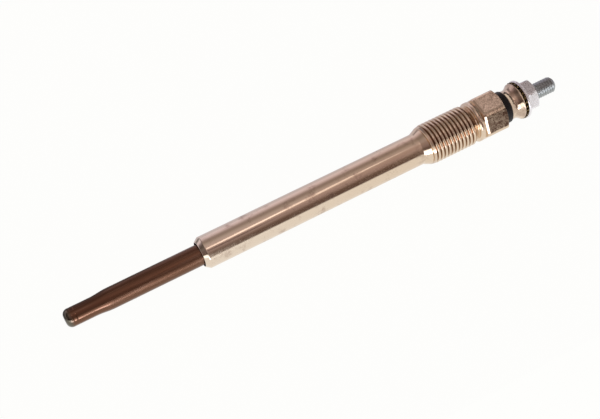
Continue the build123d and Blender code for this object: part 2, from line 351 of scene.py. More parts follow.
def turn_thread(bm, form, front, rear, crest, depth, pitch, blank, segments):
    """Right-hand thread between two stations, cut into a blank of (x, radius) points."""
    first = math.floor(front / pitch) - 1
    last = math.ceil(rear / pitch) + 1
    outline = [
        ((turn + place) * pitch, crest - drop * depth)
        for turn in range(first, last + 1)
        for place, drop in form
    ]
    thread = bmesh.new()
    bmesh.ops.spin(
        thread,
        geom=chain(thread, outline),
        cent=(0.0, 0.0, 0.0),
        axis=AXIS,
        dvec=(pitch / segments, 0.0, 0.0),
        angle=math.tau,
        steps=segments,
        use_merge=False,
    )
    bmesh.ops.remove_doubles(thread, verts=thread.verts, dist=WELD_DISTANCE * 10)
    for vert in thread.verts:
        radius = math.hypot(vert.co.y, vert.co.z)
        kept = min(radius, radius_at(blank, vert.co.x))
        vert.co.y *= kept / radius
        vert.co.z *= kept / radius
    for station, facing in ((front, -1.0), (rear, 1.0)):
        bmesh.ops.bisect_plane(
            thread,
            geom=thread.verts[:] + thread.edges[:] + thread.faces[:],
            plane_co=(station, 0.0, 0.0),
            plane_no=(facing, 0.0, 0.0),
            clear_outer=True,
            dist=WELD_DISTANCE,
        )
    join(bm, thread)


def join(bm, other):
    """Adds another bmesh to this one and frees it."""
    mesh = bpy.data.meshes.new("joined")
    other.to_mesh(mesh)
    other.free()
    bm.from_mesh(mesh)
    bpy.data.meshes.remove(mesh)


def bridge(bm, low, high):
    """Joins the open loops between two stations."""
    low -= WELD_DISTANCE
    high += WELD_DISTANCE
    open_edges = [
        edge for edge in bm.edges if edge.is_boundary and all(low < vert.co.x < high for vert in edge.verts)
    ]
    bmesh.ops.bridge_loops(bm, edges=open_edges)


def shape_hexagon(bm, station, apothem, rounding=0.0, face_radius=0.0, slope=0.0):
    """Moves the outer ring of vertices at a station onto a hexagon. A cone that starts at face_radius
    takes its corners away from the station's face: forwards for a positive slope, else backwards."""
    for vert in bm.verts:
        radius = math.hypot(vert.co.y, vert.co.z)
        if abs(vert.co.x - station) > WELD_DISTANCE or radius < apothem + MM / 2:
            continue
        side = hex_radius(apothem, around(vert.co), rounding)
        vert.co.y *= side / radius
        vert.co.z *= side / radius
        vert.co.x = station - (side - face_radius) * slope


def finish_piece(bm, node, material, smooth_degrees=35.0):
    """Makes a mesh object from a bmesh, and lets it replace the node's solid."""
    bmesh.ops.recalc_face_normals(bm, faces=bm.faces)
    for face in bm.faces:
        face.smooth = True
    mesh = bpy.data.meshes.new(node + "_look")
    bm.to_mesh(mesh)
    bm.free()
    mesh.set_sharp_from_angle(angle=math.radians(smooth_degrees))
    mesh.materials.append(material)
    piece = bpy.data.objects.new(node + "_look", mesh)
    bpy.context.scene.collection.objects.link(piece)
    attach(piece, "root")
    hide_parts(node)


def add(tree, kind, inputs=None, **settings):
    """Adds a shader node. Inputs are values or other nodes' output sockets."""
    made = tree.nodes.new("ShaderNode" + kind)
    for name, value in settings.items():
        setattr(made, name, value)
    for name, value in (inputs or {}).items():
        if isinstance(value, bpy.types.NodeSocket):
            tree.links.new(value, made.inputs[name])
        else:
            made.inputs[name].default_value = value
    return made


def calculate(tree, operation, *values):
    """Result of a calculation on values or patterns."""
    return add(tree, "Math", dict(enumerate(values)), operation=operation).outputs[0]


def times(tree, first, second):
    """Product of two patterns."""
    return calculate(tree, "MULTIPLY", first, second)


def new_finish(name, metallic=1.0):
    """A material with its surface shader, ready for patterns."""
    material = bpy.data.materials.new(name)
    material.use_nodes = True
    surface = material.node_tree.nodes["Principled BSDF"]
    surface.inputs["Metallic"].default_value = metallic
    return material, material.node_tree, surface


def place(tree):
    """Point on the piece, in metres."""
    return add(tree, "TexCoord").outputs["Object"]


def unrolled(tree, along, round_axis):
    """The surface unrolled: the place along the axis and the turn round it, each times its own scale."""
    parts = add(tree, "SeparateXYZ", {"Vector": place(tree)}).outputs
    turn = calculate(tree, "ARCTAN2", parts["Y"], parts["Z"])
    x_part = times(tree, parts["X"], along)
    y_part = times(tree, calculate(tree, "SINE", turn), round_axis)
    z_part = times(tree, calculate(tree, "COSINE", turn), round_axis)
    return add(tree, "CombineXYZ", {"X": x_part, "Y": y_part, "Z": z_part}).outputs[0]


def along_and_across(tree, point):
    """The place along the axis and the distance from it."""
    parts = add(tree, "SeparateXYZ", {"Vector": point}).outputs
    flat = add(tree, "CombineXYZ", {"Y": parts["Y"], "Z": parts["Z"]}).outputs[0]
    across = add(tree, "VectorMath", {0: flat}, operation="LENGTH").outputs["Value"]
    return parts["X"], across


def band(tree, value, low, high, softness):
    """1 between low and high, and 0 outside, with soft ends."""
    rise = remap(tree, value, low, low + softness)
    fall = remap(tree, value, high - softness, high, 1.0, 0.0)
    return times(tree, rise, fall)


def noise(tree, vector, scale, detail=3.0, roughness=0.55):
    """Noise pattern on a vector."""
    inputs = {"Vector": vector, "Scale": scale, "Detail": detail, "Roughness": roughness}
    return add(tree, "TexNoise", inputs).outputs["Fac"]


def remap(tree, value, low, high, to_low=0.0, to_high=1.0):
    """Maps the stretch from low to high onto another, and keeps to it."""
    inputs = {"Value": value, "From Min": low, "From Max": high, "To Min": to_low, "To Max": to_high}
    return add(tree, "MapRange", inputs, interpolation_type="SMOOTHSTEP").outputs[0]


def from_turn(tree, turn, low, high):
    """Rises from 0 to 1 between two turns in degrees."""
    return remap(tree, turn, math.radians(low), math.radians(high))


def turn_band(tree, turn, low, high, softness):
    """1 between two turns in degrees, and 0 outside, with soft ends of a width in radians."""
    return band(tree, turn, math.radians(low), math.radians(high), softness)


def blend(tree, amount, first, second):
    """Mixes two colours."""
    made = add(tree, "Mix", data_type="RGBA")
    for socket, value in ((made.inputs[0], amount), (made.inputs[6], first), (made.inputs[7], second)):
        if isinstance(value, bpy.types.NodeSocket):
            tree.links.new(value, socket)
        else:
            socket.default_value = (*value, 1.0) if socket.type == "RGBA" else value
    return made.outputs[2]


def set_colour(surface, colour_socket):
    """Feeds the base colour of a surface shader."""
    surface.id_data.links.new(colour_socket, surface.inputs["Base Color"])


def set_roughness(surface, socket):
    """Feeds the roughness of a surface shader."""
    surface.id_data.links.new(socket, surface.inputs["Roughness"])


def set_bump(surface, height, distance, strength=1.0):
    """Feeds a bump of some height into a surface shader."""
    tree = surface.id_data
    bump = add(tree, "Bump", {"Height": height, "Distance": distance, "Strength": strength})
    tree.links.new(bump.outputs[0], surface.inputs["Normal"])


def nickel_finish():
    """Warm bright nickel: faint turning lines, stains, rust specks, near black inside the mouth recess,
    painted shade with grime in the thread's grooves and a painted dark reflection on one hex flat.
    """
    scene = bpy.context.scene
    colours = scene.glow_plug_finishes
    sizes = scene.glow_plug_body
    wear = scene.glow_plug_wear
    barrel_end, run_in_end, _, thread_end, *_, hex_full = body_stations(sizes)
    nut_front, nut_rear = STATION["round_nut"]
    step = wear.finish_step
    material, tree, surface = new_finish("nickel_plating")
    point = place(tree)
    along, across = along_and_across(tree, point)
    cloud = noise(tree, point, 300.0, 5.0, 0.65)

    warmer = remap(tree, along, 0.0, barrel_end)
    plated = blend(tree, warmer, tuple(colours.nickel), tuple(colours.nickel_warm))
    more_at_nut = remap(tree, along, nut_front - step, nut_front, 0.0, 0.14)
    stain = remap(tree, calculate(tree, "ADD", cloud, more_at_nut), 0.52, 0.74, 0.0, 0.75)
    plated = blend(tree, stain, plated, tuple(colours.nickel_stain))

    # Painted reflection: dark brown mottling painted on the one hex flat that faces 60 degrees round from
    # +Z
    flat_normal = (0.0, -math.sin(math.pi / 3), math.cos(math.pi / 3))
    facing = add(tree, "VectorMath", {0: point, 1: flat_normal}, operation="DOT_PRODUCT")
    flat_reach = facing.outputs["Value"]
    on_flat = remap(tree, flat_reach, sizes.hex_apothem - 0.3 * step, sizes.hex_apothem - 0.05 * step)
    on_flat = times(tree, on_flat, remap(tree, along, hex_full + 0.5 * step, hex_full + 1.5 * step))
    mottling = remap(tree, noise(tree, point, 900.0, 3.0), 0.35, 0.62, 1.0, 0.35)
    plated = blend(tree, times(tree, on_flat, mottling), plated, tuple(colours.painted_flat_shade))

    # Painted shade with grime: the plating turns darker deep in the thread's grooves
    crest = sizes.thread_radius
    deep = remap(tree, across, crest - wear.grime_and_shade_full, crest - wear.grime_and_shade_top, 1.0, 0.0)
    threaded = band(tree, along, run_in_end, thread_end + wear.grime_and_shade_end, wear.grime_and_shade_fade)
    plated = blend(tree, times(tree, deep, threaded), plated, tuple(colours.groove_grime_and_shade))

    specks = remap(tree, noise(tree, point, 2600.0, 3.0, 0.7), 0.60, 0.68)
    rusty = times(tree, specks, band(tree, along, wear.rust_front, wear.rust_rear, wear.rust_fade))
    plated = blend(tree, rusty, plated, tuple(colours.rust))

    # Near black and rougher inside the mouth recess round the heater tube
    mouth_end = STATION["body"][0] + sizes.mouth_depth
    at_mouth = remap(tree, across, sizes.mouth_radius, sizes.mouth_radius + 0.4 * step, 1.0, 0.0)
    in_mouth_recess = times(tree, at_mouth, remap(tree, along, mouth_end, mouth_end + step, 1.0, 0.0))
    set_colour(surface, blend(tree, in_mouth_recess, plated, tuple(colours.mouth_recess_black)))

    polish = remap(tree, cloud, 0.3, 0.8, 0.08, 0.18)
    rough = calculate(tree, "MAXIMUM", rusty, in_mouth_recess)
    set_roughness(surface, calculate(tree, "MULTIPLY_ADD", rough, 0.55, polish))
    forged = band(tree, along, hex_full - 1.5 * step, nut_rear, 3 * step)
    scuffed = band(tree, along, wear.scuff_front, wear.scuff_rear, wear.scuff_fade)
    uneven = calculate(tree, "MULTIPLY_ADD", scuffed, 0.12, forged)
    relief = times(tree, noise(tree, point, 1900.0, 2.0), uneven)
    turning_lines = noise(tree, unrolled(tree, 9000.0, 0.6), 1.0, 2.0)
    set_bump(surface, calculate(tree, "MULTIPLY_ADD", turning_lines, 0.05, relief), 0.05 * MM, 0.5)
    return material


def heated_finish():
    """Heat-stained tube: dark reddish brown with long faint streaks and a grey welded end."""
    colours = bpy.context.scene.glow_plug_finishes
    wear = bpy.context.scene.glow_plug_wear
    material, tree, surface = new_finish("heated_tube")
    streaks = noise(tree, unrolled(tree, 60.0, 3.0), 1.6, 4.0)
    pale = remap(tree, streaks, 0.45, 0.75, 0.0, 0.5)
    brown = blend(tree, pale, tuple(colours.heated), tuple(colours.heated_pale))
    along = add(tree, "SeparateXYZ", {"Vector": place(tree)}).outputs["X"]
    tip = STATION["heater_tube"][0]
    grey = remap(tree, along, tip + wear.tip_grey_full, tip + wear.tip_grey_end, 1.0, 0.0)
    set_colour(surface, blend(tree, grey, brown, tuple(colours.tip_grey)))
    smoother = remap(tree, along, tip + wear.smooth_full, tip + wear.smooth_end, -0.15, 0.0)
    set_roughness(surface, calculate(tree, "ADD", remap(tree, streaks, 0.3, 0.8, 0.24, 0.4), smoother))
    set_bump(surface, noise(tree, unrolled(tree, 7000.0, 0.8), 1.0, 2.0), 0.002 * MM, 0.5)
    return material


def zinc_finish():
    """Pale zinc plating with duller patches."""
    colours = bpy.context.scene.glow_plug_finishes
    material, tree, surface = new_finish("zinc_plating")
    cloud = noise(tree, place(tree), 700.0, 4.0, 0.6)
    dull = remap(tree, cloud, 0.5, 0.8, 0.0, 0.5)
    set_colour(surface, blend(tree, dull, tuple(colours.zinc), tuple(colours.zinc_dull)))
    set_roughness(surface, remap(tree, cloud, 0.3, 0.8, 0.24, 0.42))
    set_bump(surface, noise(tree, place(tree), 4000.0, 3.0), 0.004 * MM, 0.4)
    return material


def stud_finish():
    """Dark blue-grey steel of the rod and its rolled thread."""
    colours = bpy.context.scene.glow_plug_finishes
    material, tree, surface = new_finish("stud_steel")
    cloud = noise(tree, place(tree), 900.0, 4.0, 0.6)
    pale = remap(tree, cloud, 0.4, 0.8, 0.0, 0.35)
    set_colour(surface, blend(tree, pale, tuple(colours.stud_steel), tuple(colours.zinc_dull)))
    set_roughness(surface, remap(tree, cloud, 0.3, 0.8, 0.28, 0.45))
    return material


def passivated_with_shade_finish():
    """Yellow passivated zinc with brown and greenish patches, darkened all over with painted shade."""
    colours = bpy.context.scene.glow_plug_finishes
    material, tree, surface = new_finish("yellow_zinc_with_shade")
    # Painted shade: the base colours are darker than the zinc itself
    cloud = noise(tree, place(tree), 900.0, 4.0, 0.6)
    brown = remap(tree, cloud, 0.45, 0.7, 0.0, 0.8)
    set_colour(surface, blend(tree, brown, tuple(colours.passivated_with_shade), tuple(colours.passivated_dark_with_shade)))
    set_roughness(surface, remap(tree, cloud, 0.3, 0.8, 0.2, 0.38))
    return material


def insulator_finish():
    """Black moulded insulator, nearly matt."""
    colours = bpy.context.scene.glow_plug_finishes
    material, tree, surface = new_finish("moulded_insulator", metallic=0.0)
    grain = noise(tree, place(tree), 3000.0, 3.0)
    surface.inputs["Base Color"].default_value = (*colours.insulator, 1.0)
    surface.inputs["Specular IOR Level"].default_value = 0.25
    set_roughness(surface, remap(tree, grain, 0.3, 0.8, 0.34, 0.5))
    set_bump(surface, grain, 0.004 * MM, 0.3)
    return material


def plain_finish(name, metallic, dark, pale, roughness):
    """A mottled finish for a piece inside the plug."""
    material, tree, surface = new_finish(name, metallic)
    grain = noise(tree, place(tree), 2500.0, 3.0)
    set_colour(surface, blend(tree, remap(tree, grain, 0.3, 0.7), dark, pale))
    set_roughness(surface, remap(tree, grain, 0.3, 0.7, roughness, roughness + 0.1))
    return material


def finish(name):
    """The named material, made when it is first asked for."""
    makers = {
        "nickel_plating": nickel_finish,
        "heated_tube": heated_finish,
        "zinc_plating": zinc_finish,
        "stud_steel": stud_finish,
        "yellow_zinc_with_shade": passivated_with_shade_finish,
        "moulded_insulator": insulator_finish,
    }
    return bpy.data.materials.get(name) or makers[name]()


class BuildBody(bpy.types.Operator):
    """Builds the steel body: cone, barrel, thread, groove, collar, hex and bores"""

    bl_idname = "glow_plug.body"
    bl_label = "Body"

    def execute(self, context):
        sizes = context.scene.glow_plug_body
        front, rear = STATION["body"]
        (
            barrel_end,
            run_in_end,
            thread_start,
            thread_end,
            groove_start,
            groove_end,
            collar_start,
            collar_end,
            neck_start,
            hex_start,
            hex_full,
        ) = body_stations(sizes)
        neck_radius = sizes.collar_radius - sizes.collar_chamfer
        blank = [
            (front, sizes.seat_front_radius),
            (0.0, sizes.barrel_radius),
            (barrel_end, sizes.barrel_radius),
            (run_in_end, sizes.run_in_radius),
            (thread_start, sizes.thread_radius),
            (thread_end, sizes.thread_radius),
            (groove_start, sizes.groove_radius),
            (groove_end, sizes.groove_radius),
            (collar_start, sizes.collar_radius),
        ]
        gap = sizes.groove_length / 4
        cut_front = barrel_end + 2 * gap
        cut_rear = groove_start + 2 * gap
        tube_radius = context.scene.glow_plug_tube.radius
        tube_rear = STATION["heater_tube"][1]
        seal_front = STATION["body_seal"][0]
        slope = math.tan(sizes.hex_chamfer)
        corner = sizes.hex_apothem + MM
        corner_radius = hex_radius(sizes.hex_apothem, math.pi / 6, sizes.hex_rounding)
        chamfer_start = rear - (corner_radius - sizes.hex_rear_radius) * slope
        outline = [
            (cut_rear + gap, sizes.groove_radius),
            (groove_end, sizes.groove_radius),
            *self.shoulder(sizes, collar_start),
            (collar_end, sizes.collar_radius),
            (neck_start, neck_radius),
            (hex_start, neck_radius),
            (hex_start, corner),
            (hex_full, corner),
            (hex_full + sizes.shading_margin, corner),
            (chamfer_start - sizes.shading_margin, corner),
            (rear, corner),
            (rear, sizes.hex_rear_radius),
            (rear, sizes.seal_bore_radius),
            (seal_front, sizes.seal_bore_radius),
            (seal_front, sizes.rod_bore_radius),
            (tube_rear, sizes.rod_bore_radius),
            (tube_rear, tube_radius),
            (front + sizes.mouth_depth, tube_radius),
            (front, sizes.mouth_radius),
            *with_support(blank[:3], sizes.shading_margin),
            (cut_front - gap, radius_at(blank, cut_front - gap)),
        ]
        bm = bmesh.new()
        turn_outline(bm, outline, closed=False)
        shape_hexagon(bm, hex_start, sizes.hex_front_apothem, sizes.hex_rounding)
        for station in (hex_full, hex_full + sizes.shading_margin, chamfer_start - sizes.shading_margin):
            shape_hexagon(bm, station, sizes.hex_apothem, sizes.hex_rounding)
        shape_hexagon(bm, rear, sizes.hex_apothem, sizes.hex_rounding, sizes.hex_rear_radius, slope)
        ease_edges(bm, sizes.edge)
        turn_thread(
            bm,
            BODY_THREAD,
            cut_front,
            cut_rear,
            sizes.thread_radius,
            sizes.thread_depth,
            sizes.thread_pitch,
            blank,
            SEGMENTS,
        )
        bridge(bm, cut_front - gap, cut_front)
        bridge(bm, cut_rear, cut_rear + gap)
        finish_piece(bm, "body", finish("nickel_plating"), smooth_degrees=20.0)
        return {"FINISHED"}

    def shoulder(self, sizes, collar_start):
        """Points of the collar's rounded front, a quarter of an ellipse."""
        rise = sizes.collar_radius - sizes.groove_radius
        points = []
        for degrees in range(15, 91, 15):
            turn = math.radians(degrees)
            x = collar_start - sizes.collar_slope * math.cos(turn)
            points.append((x, sizes.groove_radius + rise * math.sin(turn)))
        return points


# Turned marks near the tip: distance behind the rounded end and half width
RING_MARKS = ((0.35 * MM, 0.12 * MM), (1.25 * MM, 0.10 * MM))


class BuildHeaterTube(bpy.types.Operator):
    """Builds the closed heater tube with its thin front part and rounded end"""

    bl_idname = "glow_plug.heater_tube"
    bl_label = "Heater tube"

    def execute(self, context):
        sizes = context.scene.glow_plug_tube
        tip, rear = STATION["heater_tube"]
        thin_end = tip + sizes.tip_length
        full_start = thin_end + sizes.taper_length
        cavity = tip + sizes.end_thickness
        end_centre = (tip + sizes.end_rounding, sizes.tip_radius - sizes.end_rounding)
        ring_marks = []
        for start, half_width in RING_MARKS:
            mark = end_centre[0] + start
            ring_marks += [
                (mark, sizes.tip_radius),
                (mark + half_width, sizes.tip_radius - sizes.ring_mark_depth),
                (mark + 2 * half_width, sizes.tip_radius),
            ]
        outline = [
            (tip, 0.0),
            *arc(end_centre, sizes.end_rounding, 180.0, 90.0, 10),
            *ring_marks,
            (thin_end, sizes.tip_radius),
            (full_start, sizes.radius),
            (rear, sizes.radius),
            (rear, sizes.radius - sizes.wall),
            (full_start, sizes.radius - sizes.wall),
            (thin_end, sizes.tip_radius - sizes.wall),
            (cavity, sizes.tip_radius - sizes.wall),
            (cavity, 0.0),
        ]
        bm = bmesh.new()
        turn_outline(bm, with_support(outline, sizes.shading_margin), closed=False)
        outside = (sizes.tip_radius + sizes.radius - sizes.wall) / 2
        ease_edges(
            bm,
            sizes.taper_rounding,
            least_degrees=2.0,
            segments=4,
            where=lambda edge: edge.verts[0].co.yz.length > outside
            and any(
                all(abs(vert.co.x - station) < WELD_DISTANCE for vert in edge.verts)
                for station in (thin_end, full_start)
            ),
        )
        finish_piece(bm, "heater_tube", finish("heated_tube"))
        return {"FINISHED"}


class BuildInsulatingWasher(bpy.types.Operator):
    """Builds the black insulating washer with its spigot"""

    bl_idname = "glow_plug.insulating_washer"
    bl_label = "Insulating washer"

    def execute(self, context):
        sizes = context.scene.glow_plug_stack
        spigot_front, rear = STATION["insulating_washer"]
        flange_front = STATION["body"][1]
        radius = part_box("insulating_washer")[1].z
        outline = [
            (spigot_front, sizes.insulator_bore),
            (spigot_front, sizes.spigot_radius),
            (flange_front, sizes.spigot_radius),
            (flange_front, radius),
            (rear, radius),
            (rear, sizes.insulator_bore),
        ]
        bm = bmesh.new()
        turn_outline(bm, outline)
        rim = radius - sizes.insulator_edge / 2
        ease_edges(
            bm,
            sizes.insulator_edge,
            segments=4,
            where=lambda edge: edge.verts[0].co.yz.length > rim,
        )
        finish_piece(bm, "insulating_washer", finish("moulded_insulator"))
        return {"FINISHED"}


class BuildRoundNut(bpy.types.Operator):
    """Builds the round waisted nut"""

    bl_idname = "glow_plug.round_nut"
    bl_label = "Round nut"

    def execute(self, context):
        sizes = context.scene.glow_plug_stack
        front, rear = STATION["round_nut"]
        rim_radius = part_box("round_nut")[1].z
        waist = front + sizes.nut_waist_place
        flare = rear - sizes.nut_rim
        steps = 16
        sweep = []
        for step in range(steps + 1):
            x = front + (flare - front) * step / steps
            end, end_radius = (front, sizes.nut_front_radius) if x < waist else (flare, rim_radius)
            part = (x - waist) / (end - waist)
            sweep.append((x, sizes.nut_waist_radius + (end_radius - sizes.nut_waist_radius) * part**2))
        outline = [*sweep, (rear, rim_radius), (rear, sizes.held_radius), (front, sizes.held_radius)]
        bm = bmesh.new()
        turn_outline(bm, outline)
        ease_edges(bm, sizes.round_nut_edge)
        finish_piece(bm, "round_nut", finish("nickel_plating"))
        return {"FINISHED"}


# Steps that draw out a tooth: share of its reach and twist in degrees
TOOTH_STEPS = ((0.25, 42.0), (0.75, 8.0))


class BuildLockWasher(bpy.types.Operator):
    """Builds the lock washer: a ring whose teeth are drawn out and twisted"""

    bl_idname = "glow_plug.lock_washer"
    bl_label = "Lock washer"

    teeth: bpy.props.IntProperty(name="Teeth", description="Number of twisted teeth", default=26)

    def execute(self, context):
        sizes = context.scene.glow_plug_stack
        front, rear = STATION["lock_washer"]
        middle = (front + rear) / 2
        half_sheet = sizes.tooth_ring_sheet / 2
        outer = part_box("lock_washer")[1].z
        outline = [
            (middle - half_sheet, sizes.washer_bore),
            (middle - half_sheet, sizes.tooth_ring_radius),
            (middle + half_sheet, sizes.tooth_ring_radius),
            (middle + half_sheet, sizes.washer_bore),
        ]
        bm = bmesh.new()
        turn_outline(bm, outline, segments=self.teeth * 3)
        mid_ring = (sizes.washer_bore + sizes.tooth_ring_radius) / 2
        rim = [
            (face, face.calc_center_median().yz)
            for face in bm.faces
            if abs(face.normal.x) < 0.5 and face.calc_center_median().yz.length > mid_ring
        ]
        pitch = math.tau / self.teeth
        for tooth in range(self.teeth):
            facing = (tooth + 0.5) * pitch
            spoke = Vector((0.0, -math.sin(facing), math.cos(facing)))
            root = [face for face, centre in rim if centre.angle(spoke.yz) < pitch / 4]
            self.draw_tooth(bm, root, spoke, middle, outer - sizes.tooth_ring_radius)
        ease_edges(bm, sizes.tooth_edge, least_degrees=30.0)
        finish_piece(bm, "lock_washer", finish("yellow_zinc_with_shade"))
        return {"FINISHED"}

    def draw_tooth(self, bm, root, spoke, middle, reach):
        """Extrudes the faces at a tooth's root step by step and twists them about the spoke."""
        centre = spoke * root[0].calc_center_median().yz.length + Vector((middle, 0.0, 0.0))
        faces = root
        for step, twist in TOOTH_STEPS:
            made = bmesh.ops.extrude_face_region(bm, geom=faces)
            bmesh.ops.delete(bm, geom=faces, context="FACES_ONLY")
            verts = [item for item in made["geom"] if isinstance(item, bmesh.types.BMVert)]
            faces = [item for item in made["geom"] if isinstance(item, bmesh.types.BMFace)]
            bmesh.ops.translate(bm, verts=verts, vec=spoke * (reach * step))
            turned = Matrix.Rotation(math.radians(twist), 3, spoke)
            bmesh.ops.rotate(bm, verts=verts, cent=centre, matrix=turned)


class BuildPlainWasher(bpy.types.Operator):
    """Builds the flat washer"""

    bl_idname = "glow_plug.plain_washer"
    bl_label = "Plain washer"

    def execute(self, context):
        sizes = context.scene.glow_plug_stack
        front, rear = STATION["plain_washer"]
        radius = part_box("plain_washer")[1].z
        bm = bmesh.new()
        bore = sizes.washer_bore
        turn_outline(bm, [(front, bore), (front, radius), (rear, radius), (rear, bore)])
        rim = radius - sizes.washer_edge / 2
        ease_edges(
            bm,
            sizes.washer_edge,
            segments=3,
            where=lambda edge: edge.verts[0].co.yz.length > rim,
        )
        finish_piece(bm, "plain_washer", finish("zinc_plating"))
        return {"FINISHED"}


class BuildTerminalNut(bpy.types.Operator):
    """Builds the terminal nut, chamfered on both faces and countersunk at the rear"""

    bl_idname = "glow_plug.terminal_nut"
    bl_label = "Terminal nut"

    def execute(self, context):
        sizes = context.scene.glow_plug_stack
        front, rear = STATION["terminal_nut"]
        corner = sizes.nut_apothem + MM
        outline = [
            (front, sizes.held_radius),
            (front, sizes.nut_face_radius),
            (front, corner),
            (rear, corner),
            (rear, sizes.nut_face_radius),
            (rear, sizes.held_radius + sizes.nut_countersink),
            (rear - sizes.nut_countersink, sizes.held_radius),
        ]
        bm = bmesh.new()
        turn_outline(bm, outline)
        slope = math.tan(sizes.nut_chamfer)
        for station, lean in ((front, -slope), (rear, slope)):
            shape_hexagon(bm, station, sizes.nut_apothem, sizes.nut_rounding, sizes.nut_face_radius, lean)
        ease_edges(bm, sizes.nut_edge)
        bmesh.ops.rotate(bm, verts=bm.verts, matrix=Matrix.Rotation(sizes.nut_turn, 3, "X"))
        finish_piece(bm, "terminal_nut", finish("zinc_plating"), smooth_degrees=20.0)
        return {"FINISHED"}


class BuildCentreRod(bpy.types.Operator):
    """Builds the centre rod with the free end of its terminal thread"""

    bl_idname = "glow_plug.centre_rod"
    bl_label = "Centre rod"

    def execute(self, context):
        sizes = context.scene.glow_plug_stack
        nose, end = STATION["centre_rod"]
        step_start = STATION["heater_tube"][1] + sizes.rod_step_gap
        held_start = STATION["insulating_washer"][0] + sizes.held_gap
        nut_end = STATION["terminal_nut"][1]
        outline = [
            (nose, 0.0),
            (nose, sizes.rod_nose_radius),
            (nose + sizes.rod_nose_length, sizes.rod_nose_radius),
            (nose + sizes.rod_nose_length, sizes.rod_front_radius),
            (step_start, sizes.rod_front_radius),
            (step_start + sizes.rod_radius - sizes.rod_front_radius, sizes.rod_radius),
            (held_start, sizes.rod_radius),
            (held_start + sizes.held_radius - sizes.rod_radius, sizes.held_radius),
            (nut_end - sizes.nut_countersink, sizes.held_radius),
        ]
        blank = [
            (nut_end - sizes.nut_countersink, sizes.stud_radius),
            (end - sizes.stud_chamfer, sizes.stud_radius),
            (end, sizes.stud_radius - sizes.stud_chamfer),
        ]
        bm = bmesh.new()
        turn_outline(bm, outline, closed=False, segments=STUD_SEGMENTS)
        cut_front = nut_end - sizes.nut_countersink / 2
        cut_rear = end - sizes.stud_end_step
        turn_thread(
            bm,
            STUD_THREAD,
            cut_front,
            cut_rear,
            sizes.stud_radius,
            sizes.stud_depth,
            sizes.stud_pitch,
            blank,
            STUD_SEGMENTS,
        )
        bridge(bm, nut_end - sizes.nut_countersink, cut_front)
        end_loop = [edge for edge in bm.edges if edge.is_boundary and edge.verts[0].co.x > nut_end]
        cap = bmesh.ops.edgeloop_fill(bm, edges=end_loop)["faces"]
        bmesh.ops.inset_region(bm, faces=cap, thickness=sizes.stud_end_rim, depth=sizes.stud_end_step)
        finish_piece(bm, "centre_rod", finish("stud_steel"))
        return {"FINISHED"}


class DressInnerPieces(bpy.types.Operator):
    """Gives the pieces inside the plug their finishes"""

    bl_idname = "glow_plug.inner_pieces"
    bl_label = "Inner pieces"

    def execute(self, context):
        wire = plain_finish("resistance_wire", 1.0, (0.34, 0.32, 0.31), (0.50, 0.48, 0.47), 0.35)
        powder = plain_finish("magnesia", 0.0, (0.82, 0.81, 0.78), (0.92, 0.91, 0.88), 0.85)
        rubber = plain_finish("seal_rubber", 0.0, (0.03, 0.03, 0.03), (0.06, 0.06, 0.06), 0.6)
        dressing = {
            "heating_coil": wire,
            "control_coil": wire,
            "insulating_powder": powder,
            "tube_seal": rubber,
            "body_seal": rubber,
        }
        for node, material in dressing.items():
            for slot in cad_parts[node].material_slots:
                slot.material = material
        return {"FINISHED"}


# Shades of the room round the plug's axis, by their angle in degrees
ROOM = (
    (-110.0, (0.70, 0.67, 0.76)),
    (-88.0, (0.77, 0.71, 0.79)),
    (-75.0, (0.86, 0.77, 0.86)),
    (-65.0, (0.80, 0.70, 0.77)),
    (-55.0, (0.66, 0.55, 0.59)),
    (-46.0, (0.45, 0.37, 0.37)),
    (-38.0, (0.345, 0.275, 0.26)),
    (-28.0, (0.34, 0.27, 0.25)),
    (-20.0, (0.42, 0.35, 0.32)),
    (-8.0, (0.54, 0.45, 0.43)),
    (4.0, (0.58, 0.47, 0.455)),
    (16.0, (0.50, 0.38, 0.35)),
    (28.0, (0.46, 0.345, 0.33)),
    (38.0, (0.39, 0.29, 0.28)),
    (46.0, (0.30, 0.22, 0.20)),
    (54.0, (0.19, 0.125, 0.105)),
    (62.0, (0.15, 0.10, 0.082)),
    (80.0, (0.145, 0.093, 0.077)),
    (87.5, (1.0, 1.0, 0.98)),
)
# Where reflections see the floor's painted shadow: from the axis to behind it, and from the tube to the
# barrel
BEHIND_AXIS = (-1.5 * MM, 4.0 * MM)
TUBE_TO_BARREL = (-9.0 * MM, -5.0 * MM)
# How much of the floor's look is even white instead of lit paper
PAPER_GLOW = 0.975
# Long narrow lamps: name, both ends, width and radiance
LAMPS = (
    ("front_strip", (0.120, -0.300, 0.9), (0.234, -0.150, 0.9), 0.11, 1.05),
    ("rear_strip", (0.234, -0.150, 0.9), (0.320, -0.005, 0.9), 0.08, 0.72),
)
LAMP_COLOUR = (1.0, 0.90, 0.84)


